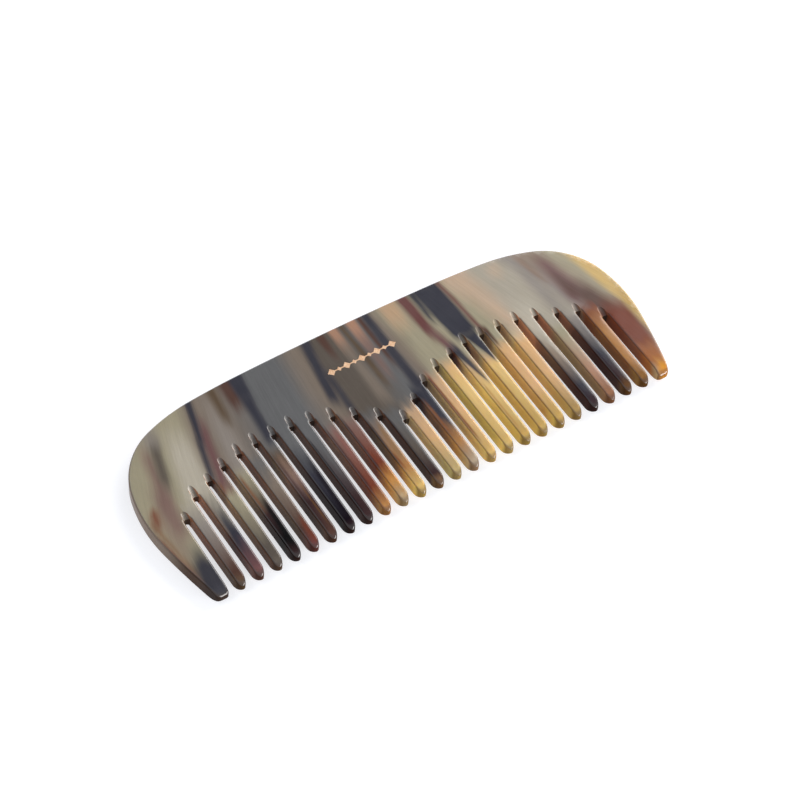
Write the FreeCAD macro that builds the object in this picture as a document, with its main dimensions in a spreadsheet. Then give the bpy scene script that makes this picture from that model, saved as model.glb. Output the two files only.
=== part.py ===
import FreeCAD, Part
import math
import os
import Sketcher

# ---------------------------------------------------------------------------
# Horn hair comb: one flat plate of polished horn, sawn into 24 slender teeth
# and two broad guard teeth, with a small foil-stamped ornament on the back.
#
# Frame: +Z up, comb lying flat on its underside (Z = 0).  +X runs along the
# back from one guard tooth to the other, the teeth point towards -Y.  The
# origin is the middle of the comb's footprint.  Millimetres.
#
# The horn is a single plate.  It is written here as the back plate and its
# 26 teeth, which meet face to face at the floor of the saw cuts, so that the
# gaps between the teeth stay open wherever a sub-part is simplified.
# ---------------------------------------------------------------------------

doc = FreeCAD.newDocument("hair_comb")

# ---- driving dimensions ---------------------------------------------------
# Heights called "floor" are the centres of the round ends of the saw cuts,
# counted outwards from the middle cut: they follow two shallow arches.
DIMS = [
    ("pitch", 4.75),            # tooth to tooth
    ("thick", 4.0),             # plate thickness
    ("half_ref", 1.27),         # half width of a tooth at the height y_ref
    ("y_ref", -20.08),
    ("flare", 0.0134),          # gain in half width per mm towards the root
    ("edge_bevel", 0.4),        # bevel of every long edge, on both faces
    ("tip_mid", -24.36),        # tip of a tooth at the middle of the comb
    ("tip_bow", 0.42),          # how far the outermost tips stand lower
    ("nose_long", 2.1),         # length of the narrowed nose, seen from above
    ("cap_half", 0.40),         # half width of the rounded cap of the nose
    ("cap_rise", 0.25),
    ("cap_rad", 0.445),
    ("thin_long", 3.0),         # length over which the nose also thins
    ("thin_mid", 1.1),
    ("thin_drop", 0.55),
    ("thin_tip", 0.5),          # half thickness left at the very tip
    ("slope_deg", 25.0),        # slope of the saw run-outs
    ("runout_back", 0.35),      # run-out axis starts this far before the root
    ("cutter_low", 2.2),
    ("cutter_high", 4.0),
    # outer outline of one half: ends of tangent arcs and their radii
    ("outx_a", 26.299), ("outy_a", 24.423), ("rad_a", 952.305),
    ("outx_b", 40.581), ("outy_b", 23.584), ("rad_b", 230.25),
    ("outx_c", 52.812), ("outy_c", 20.810), ("rad_c", 47.21),
    ("outx_d", 64.369), ("outy_d", 7.934), ("rad_d", 18.622),
    ("outx_e", 64.967), ("outy_e", -7.348), ("rad_e", 36.825),
    ("outx_f", 61.02), ("rad_f", 181.808),
    # foot of a guard tooth
    ("foot_low", -24.783), ("foot_rad_in", 0.95), ("foot_rad_out", 1.30),
    # foil ornament: a hairline with lozenges strung on it
    ("foil_x", 0.25), ("foil_y", 14.1), ("foil_long", 18.6),
    ("line_wide", 0.34), ("loz_big", 1.46), ("loz_small", 0.92),
    ("loz_step", 2.06), ("foil_deep", 0.10), ("foil_thick", 0.06),
]
FLOORS = [-5.95, -2.15, 0.88, 3.14, 4.54, 5.55, 5.64, 5.64, 5.06, 3.82,
          1.89, -0.14, -4.44]
for j, v in enumerate(FLOORS):
    DIMS.append(("floor_n%02d" % j, v))

sheet = doc.addObject("Spreadsheet::Sheet", "dims")
val = {}
for row, (name, value) in enumerate(DIMS, start=1):
    sheet.set("A%d" % row, name)
    sheet.set("B%d" % row, repr(value))
    sheet.setAlias("B%d" % row, name)
    val[name] = value
doc.recompute()


def num(expr):
    """The same formula as a number, for a first guess of the sketch."""
    out = expr
    for key in sorted(val, key=len, reverse=True):
        out = out.replace("dims." + key, "(%r)" % val[key])
    return _calc(out)


def _calc(text):
    """A small reader for + - * / and brackets."""
    pos = [0]
    s = text.replace(" ", "")

    def atom():
        if s[pos[0]] == "-":
            pos[0] += 1
            return -atom()
        if s[pos[0]] == "+":
            pos[0] += 1
            return atom()
        if s[pos[0]] == "(":
            pos[0] += 1
            v = total()
            pos[0] += 1
            return v
        start = pos[0]
        while pos[0] < len(s) and (s[pos[0]].isdigit() or s[pos[0]] == "."):
            pos[0] += 1
        return float(s[start:pos[0]])

    def product():
        v = atom()
        while pos[0] < len(s) and s[pos[0]] in "*/":
            op = s[pos[0]]
            pos[0] += 1
            w = atom()
            v = v * w if op == "*" else v / w
        return v

    def total():
        v = product()
        while pos[0] < len(s) and s[pos[0]] in "+-":
            op = s[pos[0]]
            pos[0] += 1
            w = product()
            v = v + w if op == "+" else v - w
        return v

    return total()


def half_at(y_expr):
    """Half width of a tooth at a height: teeth flare a little to the root."""
    return "(dims.half_ref + dims.flare * ((%s) - dims.y_ref))" % y_expr


def floor_of(gap):
    """Height of the floor of cut 1..25, mirrored about cut 13."""
    return "dims.floor_n%02d" % abs(gap - 13)


def gap_x(gap):
    return "(dims.pitch * (%d))" % (gap - 13)


def origin_plane(body, role):
    for o in body.Origin.OriginFeatures:
        if o.Role == role:
            return o
    raise RuntimeError("no plane " + role)


def profile(body, role, name, loops):
    """A sketch on a plane of the body: closed loops of lines and arcs.

    Every corner is (x formula, y formula); arcs are given as
    {segment: ("rad", radius formula, (x, y) on the arc)} or
    {segment: ("mid", centre height formula, (x, y) on the arc)}.
    """
    sk = body.newObject("Sketcher::SketchObject", name)
    sk.AttachmentSupport = [(origin_plane(body, role), "")]
    sk.MapMode = "FlatFace"
    first = 0
    named = []
    for corners, arcs in loops:
        pts = [FreeCAD.Vector(num(x), num(y), 0) for x, y in corners]
        n = len(pts)
        ends = []
        for i in range(n):
            a, b = pts[i], pts[(i + 1) % n]
            if i in arcs:
                # arcs are laid counter-clockwise; ends say which end is which
                on = FreeCAD.Vector(arcs[i][2][0], arcs[i][2][1], 0)
                ring = Part.Arc(a, on, b).toShape().Curve
                c, rad = ring.Center, ring.Radius
                turn = (on - a).cross(b - on).z
                p0, p1 = (a, b) if turn > 0 else (b, a)
                ends.append((1, 2) if turn > 0 else (2, 1))
                t0 = math.atan2(p0.y - c.y, p0.x - c.x)
                t1 = math.atan2(p1.y - c.y, p1.x - c.x)
                while t1 < t0:
                    t1 += 2.0 * math.pi
                circle = Part.Circle(c, FreeCAD.Vector(0, 0, 1), rad)
                sk.addGeometry(Part.ArcOfCircle(circle, t0, t1), False)
            else:
                sk.addGeometry(Part.LineSegment(a, b), False)
                ends.append((1, 2))
        for i in range(n):
            k = (i + 1) % n
            sk.addConstraint(Sketcher.Constraint(
                "Coincident", first + i, ends[i][1], first + k, ends[k][0]))
        for i in range(n):
            cx = sk.addConstraint(Sketcher.Constraint(
                "DistanceX", -1, 1, first + i, ends[i][0], pts[i].x))
            named.append((cx, corners[i][0]))
            cy = sk.addConstraint(Sketcher.Constraint(
                "DistanceY", -1, 1, first + i, ends[i][0], pts[i].y))
            named.append((cy, corners[i][1]))
        for i in arcs:
            kind, expr, _on = arcs[i]
            if kind == "rad":
                c = sk.addConstraint(Sketcher.Constraint(
                    "Radius", first + i, num(expr)))
            else:
                c = sk.addConstraint(Sketcher.Constraint(
                    "DistanceY", -1, 1, first + i, 3, num(expr)))
            named.append((c, expr))
        first += n
    for c, expr in named:
        sk.setExpression("Constraints[%d]" % c, expr)
    return sk


def arc_mid(x0, y0, x1, y1, rad, side):
    """A point half way along the arc; side +1 bulges left of the chord."""
    dx, dy = x1 - x0, y1 - y0
    c = math.hypot(dx, dy)
    h = rad - math.sqrt(max(rad * rad - c * c / 4.0, 0.0))
    return ((x0 + x1) / 2.0 - side * h * dy / c,
            (y0 + y1) / 2.0 + side * h * dx / c)


def pad(body, sk, name):
    p = body.newObject("PartDesign::Pad", name)
    p.Profile = sk
    p.setExpression("Length", "dims.thick")
    return p


def flat_edges(shape, wanted):
    """Names of the edges on the two faces of the plate that are wanted."""
    names = []
    top = val["thick"]
    for i, e in enumerate(shape.Edges, start=1):
        b = e.BoundBox
        if b.ZLength > 1e-6:
            continue
        if abs(b.ZMin) > 1e-6 and abs(b.ZMin - top) > 1e-6:
            continue
        if wanted(e, b):
            names.append("Edge%d" % i)
    return names


def bevel(body, base, names, size, name):
    before = base.Shape.Volume
    c = body.newObject("PartDesign::Chamfer", name)
    c.Base = (base, names)
    c.setExpression("Size", size)
    doc.recompute()
    if not c.Shape.Volume < before:
        raise RuntimeError(name + " cut nothing")
    return c


# ---- back plate -----------------------------------------------------------
def half_outline(sign):
    s = "" if sign > 0 else "-"
    keys = ["e", "d", "c", "b", "a"]
    return [("%sdims.outx_%s" % (s, k), "dims.outy_%s" % k, k) for k in keys]


def back_plate():
    body = doc.addObject("PartDesign::Body", "plate_body")
    corners = []
    arcs = {}

    def add(x, y):
        corners.append((x, y))
        return len(corners) - 1

    # outer outline, from the right guard tooth over the back to the left one
    right = half_outline(+1)
    left = half_outline(-1)[::-1]
    chain = right + left
    for x, y, k in chain:
        add(x, y)
    # radius between neighbours: e-d d-c c-b b-a a-a' a'-b' ...
    keys = ["e", "d", "c", "b", "a", "b", "c", "d", "e"]
    rads = ["rad_e", "rad_d", "rad_c", "rad_b", "rad_a",
            "rad_b", "rad_c", "rad_d", "rad_e"]
    for i, r in enumerate(rads):
        x0, y0 = num(corners[i][0]), num(corners[i][1])
        x1, y1 = num(corners[i + 1][0]), num(corners[i + 1][1])
        arcs[i] = ("rad", "dims." + r, arc_mid(x0, y0, x1, y1, val[r], -1))
    # floors of the 25 saw cuts, from left to right
    for g in range(1, 26):
        y = floor_of(g)
        r = "(dims.pitch / 2 - %s)" % half_at(y)
        i = add("%s - %s" % (gap_x(g), r), y)
        add("%s + %s" % (gap_x(g), r), y)
        arcs[i] = ("mid", y, (num(gap_x(g)), num(y) + num(r)))
    sk = profile(body, "XY_Plane", "plate_outline", [(corners, arcs)])
    p = pad(body, sk, "plate_pad")
    doc.recompute()

    def rim(e, b):
        return e.Curve.TypeId == "Part::GeomCircle" and e.Curve.Radius > 5.0

    def cut_end(e, b):
        return e.Curve.TypeId == "Part::GeomCircle" and e.Curve.Radius < 2.0

    c1 = bevel(body, p, flat_edges(p.Shape, rim), "dims.edge_bevel",
               "plate_rim_bevel")
    names = flat_edges(c1.Shape, cut_end)
    if len(names) != 50:
        raise RuntimeError("cut ends found: %d" % len(names))
    c2 = bevel(body, c1, names, "dims.edge_bevel", "plate_cut_bevel")
    body.Tip = c2
    doc.recompute()

    # saw run-outs: each cut rides up and out of both faces beyond its floor
    slope = math.radians(val["slope_deg"])
    tools = []
    for g in range(1, 26):
        y = floor_of(g)
        r = "(dims.pitch / 2 - %s)" % half_at(y)
        root = "(%s + %s)" % (y, r)
        for face in ("top", "under"):
            cyl = doc.addObject("Part::Cylinder",
                                "runout_%s_%02d" % (face, g))
            cyl.setExpression("Radius", r)
            cyl.setExpression("Height", "dims.cutter_low + dims.cutter_high")
            up = face == "top"
            angle = -(90.0 - val["slope_deg"]) if up else \
                -(90.0 + val["slope_deg"])
            cyl.Placement = FreeCAD.Placement(
                FreeCAD.Vector(0, 0, 0),
                FreeCAD.Rotation(FreeCAD.Vector(1, 0, 0), angle))
            cyl.setExpression("Placement.Base.x", gap_x(g))
            cyl.setExpression(
                "Placement.Base.y",
                "%s - dims.runout_back - dims.cutter_low * cos(dims.slope_deg * 1 deg)" % root)
            cyl.setExpression(
                "Placement.Base.z",
                "dims.thick - dims.cutter_low * sin(dims.slope_deg * 1 deg)"
                if up else "dims.cutter_low * sin(dims.slope_deg * 1 deg)")
            tools.append(cyl)
    comp = doc.addObject("Part::Compound", "runout_tools")
    comp.Links = tools
    cut = doc.addObject("Part::Cut", "plate_with_runouts")
    cut.Base = body
    cut.Tool = comp
    doc.recompute()
    return body, cut


# ---- teeth ----------------------------------------------------------------
def nose_cut(body, pad_obj, tip, name):
    """Thin the nose from both faces towards the tip."""
    mid = "dims.thick / 2"
    far = "(%s - 0.6)" % tip
    loops = []
    for up in (True, False):
        z = (lambda d: "dims.thick - (%s)" % d) if up else (lambda d: d)
        corners = [
            ("%s + dims.thin_long" % tip, z("0")),
            ("%s + dims.thin_mid" % tip, z("dims.thin_drop")),
            ("%s - 0.3" % tip, z("%s - dims.thin_tip" % mid)),
            ("%s - 0.6" % tip, z("%s - dims.thin_tip" % mid)),
            ("%s - 0.6" % tip, z("0 - 0.5")),
            ("%s + dims.thin_long" % tip, z("0 - 0.5")),
        ]
        loops.append((corners, {}))
    sk = profile(body, "YZ_Plane", name + "_thin", loops)
    k = body.newObject("PartDesign::Pocket", name + "_nose")
    k.Profile = sk
    k.Type = 1
    k.Midplane = True
    before = pad_obj.Shape.Volume
    doc.recompute()
    if not k.Shape.Volume < before - 1e-3:
        raise RuntimeError(name + ": the nose cut removed nothing")
    return k


def slim_tooth(k):
    """Tooth k (2..25) between cut k-1 and cut k."""
    label = "tooth_%02d" % k
    body = doc.addObject("PartDesign::Body", label + "_body")
    c = "(dims.pitch * (%s))" % (k - 13.5)
    off = (k - 13.5) / 12.5
    tip = "(dims.tip_mid - dims.tip_bow * %.6f)" % (off * off)
    yl, yr = floor_of(k - 1), floor_of(k)
    yn = "(%s + dims.nose_long)" % tip
    corners = [
        ("%s - %s" % (c, half_at(yl)), yl),
        ("%s + %s" % (c, half_at(yr)), yr),
        ("%s + %s" % (c, half_at(yn)), yn),
        ("%s + dims.cap_half" % c, "%s + dims.cap_rise" % tip),
        ("%s - dims.cap_half" % c, "%s + dims.cap_rise" % tip),
        ("%s - %s" % (c, half_at(yn)), yn),
    ]
    arcs = {3: ("rad", "dims.cap_rad", (num(c), num(tip)))}
    sk = profile(body, "XY_Plane", label + "_plan", [(corners, arcs)])
    p = pad(body, sk, label + "_pad")
    doc.recompute()
    nose = nose_cut(body, p, tip, label)

    def long_edge(e, b):
        return b.YLength > 5.0 and b.XLength < 0.25 * b.YLength

    names = flat_edges(nose.Shape, long_edge)
    if len(names) != 4:
        raise RuntimeError(label + ": long edges found: %d" % len(names))
    tip_feature = bevel(body, nose, names, "dims.edge_bevel", label + "_bevel")
    body.Tip = tip_feature
    body.Label = label
    return body


def guard_tooth(sign, label):
    """The broad end tooth: its outer side is the comb's own outline."""
    body = doc.addObject("PartDesign::Body", label + "_body")
    s = "" if sign > 0 else "-"
    g = 25 if sign > 0 else 1
    y = floor_of(g)
    # inner side at the height y: cut centre plus half a pitch less half width
    inner = lambda yy: "%s(dims.pitch * 12.5 - %s)" % (s, half_at(yy))
    corners = [
        (inner(y), y),
        ("%sdims.outx_e" % s, "dims.outy_e"),
        ("%sdims.outx_f" % s, "dims.foot_low"),
        (inner("dims.foot_low"), "dims.foot_low"),
    ]
    q = [(num(a), num(b)) for a, b in corners]
    turn = -1 if sign < 0 else 1
    arcs = {
        1: ("rad", "dims.rad_f", arc_mid(*q[1], *q[2], val["rad_f"], turn)),
    }
    sk = profile(body, "XY_Plane", label + "_plan", [(corners, arcs)])
    p = pad(body, sk, label + "_pad")
    doc.recompute()

    def upright(shape, corner):
        found = []
        for i, e in enumerate(shape.Edges, start=1):
            b = e.BoundBox
            if b.ZLength > 1.0 and abs(b.XMin - corner[0]) < 1e-4 \
                    and abs(b.YMin - corner[1]) < 1e-4:
                found.append("Edge%d" % i)
        return found

    f1 = body.newObject("PartDesign::Fillet", label + "_foot_outer")
    f1.Base = (p, upright(p.Shape, q[2]))
    f1.setExpression("Radius", "dims.foot_rad_out")
    doc.recompute()
    f2 = body.newObject("PartDesign::Fillet", label + "_foot_inner")
    f2.Base = (f1, upright(f1.Shape, q[3]))
    f2.setExpression("Radius", "dims.foot_rad_in")
    doc.recompute()

    def around(e, b):
        # every edge of the two faces but the one against the back plate
        return b.YMin < min(q[0][1], q[1][1]) - 1e-3 or \
            e.Curve.TypeId == "Part::GeomCircle"

    n1 = flat_edges(f2.Shape, around)
    if len(n1) != 10:
        raise RuntimeError(label + ": edges found: %d" % len(n1))
    b1 = bevel(body, f2, n1, "dims.edge_bevel", label + "_bevel")
    nose = nose_cut(body, b1, "dims.foot_low", label)
    body.Tip = nose
    body.Label = label
    return body


# ---- foil ornament --------------------------------------------------------
def ornament(prefix, z_low, height):
    """A hairline with nine lozenges, all one flat piece."""
    bits = []
    line = doc.addObject("Part::Box", prefix + "_line")
    line.setExpression("Length", "dims.foil_long")
    line.setExpression("Width", "dims.line_wide")
    line.setExpression("Height", height)
    line.setExpression("Placement.Base.x", "dims.foil_x - dims.foil_long / 2")
    line.setExpression("Placement.Base.y", "dims.foil_y - dims.line_wide / 2")
    line.setExpression("Placement.Base.z", z_low)
    bits.append(line)
    for i in range(-4, 5):
        size = "dims.loz_big" if i % 2 == 0 else "dims.loz_small"
        loz = doc.addObject("Part::Box", "%s_lozenge_%d" % (prefix, i + 5))
        loz.setExpression("Length", size)
        loz.setExpression("Width", size)
        loz.setExpression("Height", height)
        loz.Placement = FreeCAD.Placement(
            FreeCAD.Vector(0, 0, 0),
            FreeCAD.Rotation(FreeCAD.Vector(0, 0, 1), 45.0))
        loz.setExpression("Placement.Base.x",
                          "dims.foil_x + dims.loz_step * (%d)" % i)
        loz.setExpression("Placement.Base.y",
                          "dims.foil_y - %s * sqrt(2) / 2" % size)
        loz.setExpression("Placement.Base.z", z_low)
        bits.append(loz)
    fuse = doc.addObject("Part::MultiFuse", prefix + "_shape")
    fuse.Shapes = bits
    fuse.Refine = True
    return fuse


plate_body, plate_cut = back_plate()
recess = ornament("recess", "dims.thick - dims.foil_deep", "dims.foil_deep + 1")
plate = doc.addObject("Part::Cut", "plate_stamped")
plate.Base = plate_cut
plate.Tool = recess
plate.Label = "back_plate"

foil = ornament("foil", "dims.thick - dims.foil_deep", "dims.foil_thick")
foil.Label = "foil_stamp"
doc.recompute()

nodes = [plate, foil,
         guard_tooth(-1, "guard_tooth_left"),
         guard_tooth(+1, "guard_tooth_right")]
for k in range(2, 26):
    nodes.append(slim_tooth(k))
doc.recompute()

# ---- checks and files -----------------------------------------------------
bad = [o.Name for o in doc.Objects
       if "Invalid" in o.State or "Error" in o.State]
if bad:
    raise RuntimeError("objects in error: " + ", ".join(bad))
for o in nodes:
    sh = o.Shape
    if sh.isNull() or not sh.isValid() or len(sh.Solids) != 1:
        raise RuntimeError("%s: null, invalid or not one solid (%d)"
                           % (o.Label, len(sh.Solids)))

os.makedirs("parts", exist_ok=True)
for o in nodes:
    o.Shape.exportStep("parts/%s.step" % o.Label)
    b = o.Shape.BoundBox
    print("%-18s vol %9.2f  x %8.3f %8.3f  y %8.3f %8.3f  z %6.3f %6.3f" % (
        o.Label, o.Shape.Volume, b.XMin, b.XMax, b.YMin, b.YMax,
        b.ZMin, b.ZMax))
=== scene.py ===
import math

import bpy
import bmesh
import numpy as np
from mathutils import Matrix, Vector
from mathutils.geometry import delaunay_2d_cdt


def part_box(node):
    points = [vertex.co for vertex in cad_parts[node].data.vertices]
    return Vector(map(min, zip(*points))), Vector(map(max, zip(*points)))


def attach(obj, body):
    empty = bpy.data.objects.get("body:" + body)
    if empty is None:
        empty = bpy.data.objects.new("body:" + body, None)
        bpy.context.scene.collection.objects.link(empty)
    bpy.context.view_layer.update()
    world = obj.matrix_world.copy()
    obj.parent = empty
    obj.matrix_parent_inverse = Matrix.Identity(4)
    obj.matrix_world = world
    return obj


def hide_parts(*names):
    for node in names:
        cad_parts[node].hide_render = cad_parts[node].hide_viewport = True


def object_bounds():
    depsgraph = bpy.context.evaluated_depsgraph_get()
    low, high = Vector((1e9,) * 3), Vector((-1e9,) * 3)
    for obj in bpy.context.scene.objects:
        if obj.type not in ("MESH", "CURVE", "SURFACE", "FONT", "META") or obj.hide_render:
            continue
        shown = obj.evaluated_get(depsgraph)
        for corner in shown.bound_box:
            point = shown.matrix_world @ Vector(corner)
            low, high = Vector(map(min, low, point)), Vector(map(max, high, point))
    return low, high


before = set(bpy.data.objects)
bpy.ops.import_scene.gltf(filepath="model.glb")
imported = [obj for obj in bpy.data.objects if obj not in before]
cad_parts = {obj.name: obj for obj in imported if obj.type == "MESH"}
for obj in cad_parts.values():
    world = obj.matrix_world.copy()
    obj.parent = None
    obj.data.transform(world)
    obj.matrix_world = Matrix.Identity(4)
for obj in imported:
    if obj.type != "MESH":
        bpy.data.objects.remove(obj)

# ---------------------------------------------------------------------------
# Horn hair comb.  The CAD nodes of the horn (the back plate and its 26 teeth)
# are one physical plate, so one continuous mesh stands for all of them.
# Shapes are worked out in millimetres and scaled to metres at the end.
# ---------------------------------------------------------------------------
MM = 0.001
CAD_LO, CAD_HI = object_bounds()


def box_mm(node):
    lo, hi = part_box(node)
    return [v / MM for v in lo], [v / MM for v in hi]


plate_lo, plate_hi = box_mm("back_plate")
left_lo, left_hi = box_mm("guard_tooth_left")
right_lo, right_hi = box_mm("guard_tooth_right")
foil_lo, foil_hi = box_mm("foil_stamp")
SLIM = {k: box_mm("tooth_%02d" % k) for k in range(2, 26)}

TOP = plate_hi[2]
LOW = plate_lo[2]
HALF = (TOP - LOW) / 2.0
MID = (TOP + LOW) / 2.0
CENTRE = {k: (SLIM[k][0][0] + SLIM[k][1][0]) / 2.0 for k in SLIM}
TIP = {k: SLIM[k][0][1] for k in SLIM}
FOOT = (left_lo[1] + right_lo[1]) / 2.0
PITCH = (CENTRE[25] - CENTRE[2]) / 23.0
WIDE = max(right_hi[0], -left_lo[0], plate_hi[0], -plate_lo[0])
RISE = plate_hi[1]

# the plan of the plate, as the CAD has it
OUTLINE = [  # ends of the tangent arcs of one half and their radii
    (0.0, 24.786, None), (26.299, 24.423, 952.305), (40.581, 23.584, 230.25),
    (52.812, 20.810, 47.21), (64.369, 7.934, 18.622), (64.967, -7.348, 36.825),
    (61.02, -24.783, 181.808)]
SX = WIDE / 65.5
SY = RISE / 24.786
FLOORS = [-5.95, -2.15, 0.88, 3.14, 4.54, 5.55, 5.64, 5.64, 5.06, 3.82,
          1.89, -0.14, -4.44]
# how far each saw cut rides on beyond its end on the face, cut 1 to 25
REACH = [1.7, 2.8, 1.9, 2.1, 2.6, 2.75, 2.3, 2.7, 2.4, 2.4,
         2.0, 2.1, 2.4, 1.3, 1.7, 2.1, 1.5, 2.6, 2.1, 1.7,
         2.3, 2.1, 1.5, 2.1, 2.5]
DEEP = [1.0, 1.05, 0.95, 1.0, 1.1, 1.1, 1.0, 1.1, 1.05, 1.0,
        0.95, 1.0, 1.05, 0.85, 0.95, 0.95, 0.8, 1.0, 0.95, 0.75,
        0.9, 0.85, 0.8, 0.9, 1.0]


def half_width(y):
    return 1.27 + 0.0134 * (y + 20.08)


def floor_y(g):
    return FLOORS[abs(g - 13)]


def gap_x(g):
    return (g - 13) * PITCH


def arc_points(p, q, rad, side, step):
    """Points after p up to q on the arc that bulges to the given side."""
    p, q = np.array(p, float), np.array(q, float)
    d = q - p
    c = np.hypot(*d)
    h = math.sqrt(max(rad * rad - c * c / 4.0, 0.0))
    n = np.array([-d[1], d[0]]) / c
    o = (p + q) / 2.0 - side * n * h
    a0 = math.atan2(*(p - o)[::-1])
    a1 = math.atan2(*(q - o)[::-1])
    da = (a1 - a0 + math.pi) % (2.0 * math.pi) - math.pi
    m = max(2, int(math.ceil(abs(da) * rad / step)))
    return [o + rad * np.array([math.cos(a0 + da * i / m), math.sin(a0 + da * i / m)])
            for i in range(1, m + 1)]


def line_points(p, q, step):
    p, q = np.array(p, float), np.array(q, float)
    m = max(1, int(math.ceil(np.hypot(*(q - p)) / step)))
    return [p + (q - p) * i / m for i in range(1, m + 1)]


NOSE = 2.7        # length of the bullet nose seen from above
THIN = 3.2        # length over which it also thins


def nose_points(k):
    """From the left side of slim tooth k round its nose to the right side."""
    c, tip = CENTRE[k], TIP[k]
    w = half_width(tip + NOSE)
    left = []
    m = 15
    for i in range(m + 1):
        a = math.pi / 2.0 * i / m
        t = NOSE * (1.0 - math.sin(a) ** (2.0 / 1.9))
        x = w * math.cos(a) ** (2.0 / 2.0)
        left.append((c - x, tip + t))
    right = [(2.0 * c - x, y) for x, y in left[-2::-1]]
    return [np.array(p) for p in left + right]


def fillet(p, q, r, rad):
    """Rounded corner at q between p-q and q-r: start, points on it, end."""
    p, q, r = (np.array(v, float) for v in (p, q, r))
    u = (p - q) / np.hypot(*(p - q))
    v = (r - q) / np.hypot(*(r - q))
    half = math.acos(float(np.clip(u @ v, -1, 1))) / 2.0
    d = rad / math.tan(half)
    o = q + (u + v) / np.hypot(*(u + v)) * rad / math.sin(half)
    a, b = q + u * d, q + v * d
    a0 = math.atan2(*(a - o)[::-1])
    a1 = math.atan2(*(b - o)[::-1])
    da = (a1 - a0 + math.pi) % (2.0 * math.pi) - math.pi
    m = max(4, int(abs(da) / math.radians(9.0)))
    return [o + rad * np.array([math.cos(a0 + da * i / m), math.sin(a0 + da * i / m)])
            for i in range(m + 1)]


def plan():
    """The closed outline of the plate seen from above, counter-clockwise."""
    pts = []
    side_step = 0.85
    inner = lambda y, s: s * (PITCH * 12.5 - half_width(y))
    # foot of the left guard tooth, from its outer to its inner side
    f = (-61.02 * SX, FOOT)
    g = (inner(FOOT, -1), FOOT)
    up = (inner(floor_y(1), -1), floor_y(1))
    out_dir = (f[0] - 0.226 * 6.0, f[1] + 6.0)
    pts += fillet(out_dir, f, g, 1.30)
    pts += fillet(f, g, up, 0.95)
    pts += line_points(pts[-1], up, side_step)
    for c in range(1, 26):
        y = floor_y(c)
        r = PITCH / 2.0 - half_width(y)
        x = gap_x(c)
        m = 22
        for i in range(1, m + 1):
            a = math.pi - math.pi * i / m
            pts.append(np.array([x + r * math.cos(a), y + r * math.sin(a)]))
        if c < 25:
            nose = nose_points(c + 1)
            pts += line_points(pts[-1], nose[0], side_step)
            pts += nose[1:]
            nxt = (gap_x(c + 1) - (PITCH / 2.0 - half_width(floor_y(c + 1))),
                   floor_y(c + 1))
            pts += line_points(pts[-1], nxt, side_step)
    # right guard tooth
    g = (inner(FOOT, 1), FOOT)
    f = (61.02 * SX, FOOT)
    a = fillet(pts[-1], g, f, 0.95)
    pts += line_points(pts[-1], a[0], side_step)
    pts += a[1:]
    out_dir = (f[0] + 0.226 * 6.0, f[1] + 6.0)
    pts += fillet(g, f, out_dir, 1.30)
    # over the back to the left guard tooth
    right = [(x * SX, y * SY if y > 0 else y, r) for x, y, r in OUTLINE]
    chain = [(x, y) for x, y, _ in right[::-1]] + [(-x, y) for x, y, _ in right[1:]]
    rads = [r for _, _, r in right[:0:-1]] + [r for _, _, r in right[1:]]
    arc = []
    for i in range(len(chain) - 1):
        step = 0.55 if rads[i] < 60 else 0.9
        arc += arc_points(chain[i], chain[i + 1], rads[i], -1, step)
    # the arc's first and last stretch belong to the rounded feet
    low = FOOT + 1.35
    arc = [p for p in arc if p[1] > low or abs(p[0]) < 50]
    pts += arc
    out = [pts[0]]
    for p in pts[1:]:
        if np.hypot(*(p - out[-1])) > 0.02:
            out.append(p)
    if np.hypot(*(out[0] - out[-1])) < 0.02:
        out.pop()
    return np.array(out)


def tip_height(x, y):
    """Distance above the tip of the tooth this point belongs to."""
    k = np.clip(np.round(x / PITCH + 13.5), 1, 26).astype(int)
    tips = np.array([0.0, FOOT] + [TIP[i] for i in range(2, 26)] + [FOOT])
    return y - tips[k]


def half_height(x, y):
    """Half thickness of the plate: full, thinning over the noses."""
    t = np.clip(tip_height(x, y) / THIN, 0.0, 1.0)
    return HALF - (HALF - 0.66) * (1.0 - t) ** 2.2


P = plan()
N = len(P)
prev, nxt = np.roll(P, 1, 0), np.roll(P, -1, 0)
e0, e1 = P - prev, nxt - P
l0, l1 = np.hypot(*e0.T), np.hypot(*e1.T)
tan = e0 / l0[:, None] / l0[:, None] + e1 / l1[:, None] / l1[:, None]
tan /= np.hypot(*tan.T)[:, None]
inward = np.column_stack([-tan[:, 1], tan[:, 0]])

# the rounded edge: how far it reaches in and down
REACH_IN, REACH_DOWN = 0.52, 0.55
LOW_SHARE = 0.62    # the under side is rounded a little less
t_of = tip_height(P[:, 0], P[:, 1])
kk = np.clip(np.round(P[:, 0] / PITCH + 13.5), 1, 26).astype(int)
cx = np.array([0.0, -1e3] + [CENTRE[i] for i in range(2, 26)] + [1e3])[kk]
side_room = np.abs(P[:, 0] - cx) / np.maximum(np.abs(inward[:, 0]), 1e-6)
room = np.where((kk > 1) & (kk < 26) & (t_of < NOSE + 0.2), side_room, 9.0)
room = np.where((kk > 1) & (kk < 26) & (t_of < 0.02), 0.5, room)
ins = np.minimum(REACH_IN, 0.80 * room)
for _ in range(6):
    ins = np.minimum(ins, (np.roll(ins, 1) + ins * 2 + np.roll(ins, -1)) / 4 + 0.01)
hh = half_height(P[:, 0], P[:, 1])
down = np.minimum(REACH_DOWN, 0.92 * hh)
BANDS = 7
theta = [math.pi / 2 * (j / BANDS) for j in range(BANDS + 1)]

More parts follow.
